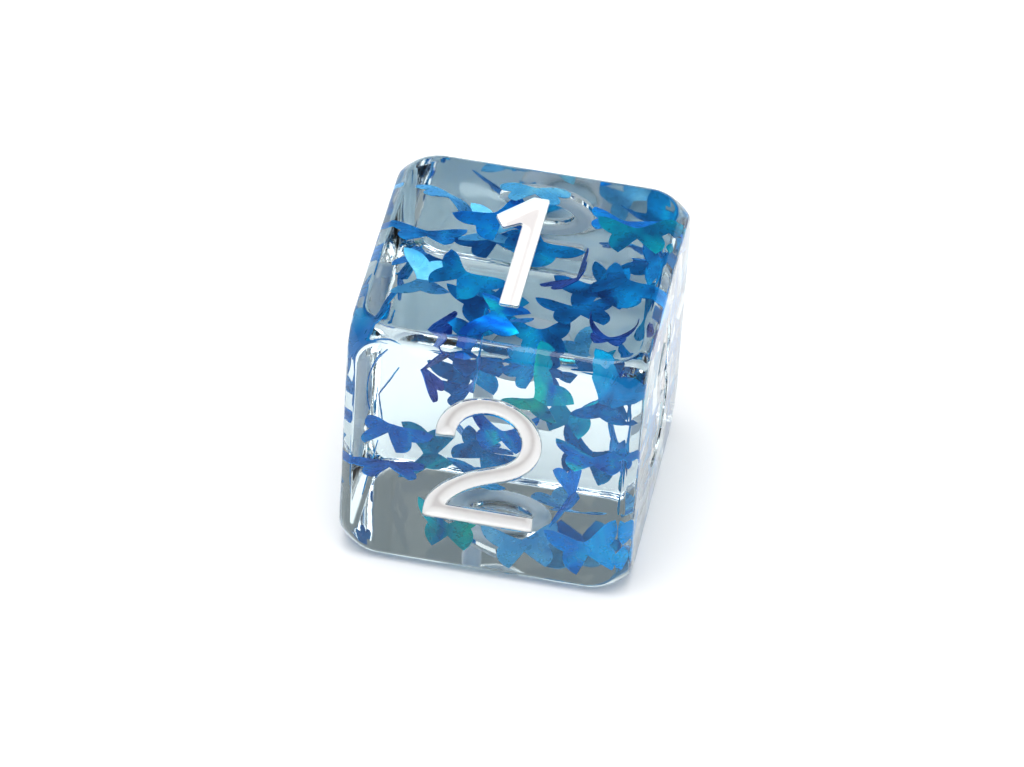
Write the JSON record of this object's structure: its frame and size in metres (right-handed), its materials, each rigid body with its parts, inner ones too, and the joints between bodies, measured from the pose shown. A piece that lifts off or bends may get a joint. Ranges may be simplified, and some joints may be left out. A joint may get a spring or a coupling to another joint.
{
  "type": "casino die",
  "caption": "Clear cast-resin cube die with engraved white-painted numerals on every face and blue butterfly-shaped foils cast inside.",
  "frame": {"origin": "centre of the cube", "axes": "+Z out of the face with the 1, -Y out of the face with the 2, +X out of the face with the 3"},
  "size_m": [0.016, 0.016, 0.016],
  "materials": {
    "clear_resin": "polished clear cast resin",
    "white_paint": "satin white paint",
    "blue_foil": "iridescent blue to teal film"
  },
  "bodies": {
    "root": {"foil_back_left": "blue_foil", "foil_back_low": "blue_foil", "foil_back_right": "blue_foil", "foil_core": "blue_foil", "foil_floor_back": "blue_foil", "foil_floor_right": "blue_foil", "foil_front_bowl": "blue_foil", "foil_front_corner": "blue_foil", "foil_front_foot": "blue_foil", "foil_front_foot_deep": "blue_foil", "foil_front_high": "blue_foil", "foil_front_hook": "blue_foil", "foil_front_left": "blue_foil", "foil_front_left_low": "blue_foil", "foil_front_low_right": "blue_foil", "foil_front_neck": "blue_foil", "foil_front_right": "blue_foil", "foil_front_shelf": "blue_foil", "foil_front_star": "blue_foil", "foil_front_stem": "blue_foil", "foil_front_zigzag": "blue_foil", "foil_left_high": "blue_foil", "foil_left_low": "blue_foil", "foil_left_middle": "blue_foil", "foil_right_back": "blue_foil", "foil_right_high": "blue_foil", "foil_right_low": "blue_foil", "foil_right_middle": "blue_foil", "foil_top_back": "blue_foil", "foil_top_back_left": "blue_foil", "foil_top_back_right": "blue_foil", "foil_top_bowed": "blue_foil", "foil_top_corner": "blue_foil", "foil_top_deep": "blue_foil", "foil_top_flag": "blue_foil", "foil_top_front": "blue_foil", "foil_top_hoop": "blue_foil", "foil_top_left": "blue_foil", "foil_top_left_deep": "blue_foil", "foil_top_left_pale": "blue_foil", "foil_top_middle": "blue_foil", "foil_top_middle_deep": "blue_foil", "foil_top_right": "blue_foil", "foil_top_tilted": "blue_foil", "foil_top_under_stem": "blue_foil", "foil_top_upright": "blue_foil", "foil_top_zigzag": "blue_foil", "numeral_1_paint": "white_paint", "numeral_2_paint": "white_paint", "numeral_3_paint": "white_paint", "numeral_4_paint": "white_paint", "numeral_5_paint": "white_paint", "numeral_6_paint": "white_paint", "resin_body": "clear_resin"}
  },
  "joints": []
}
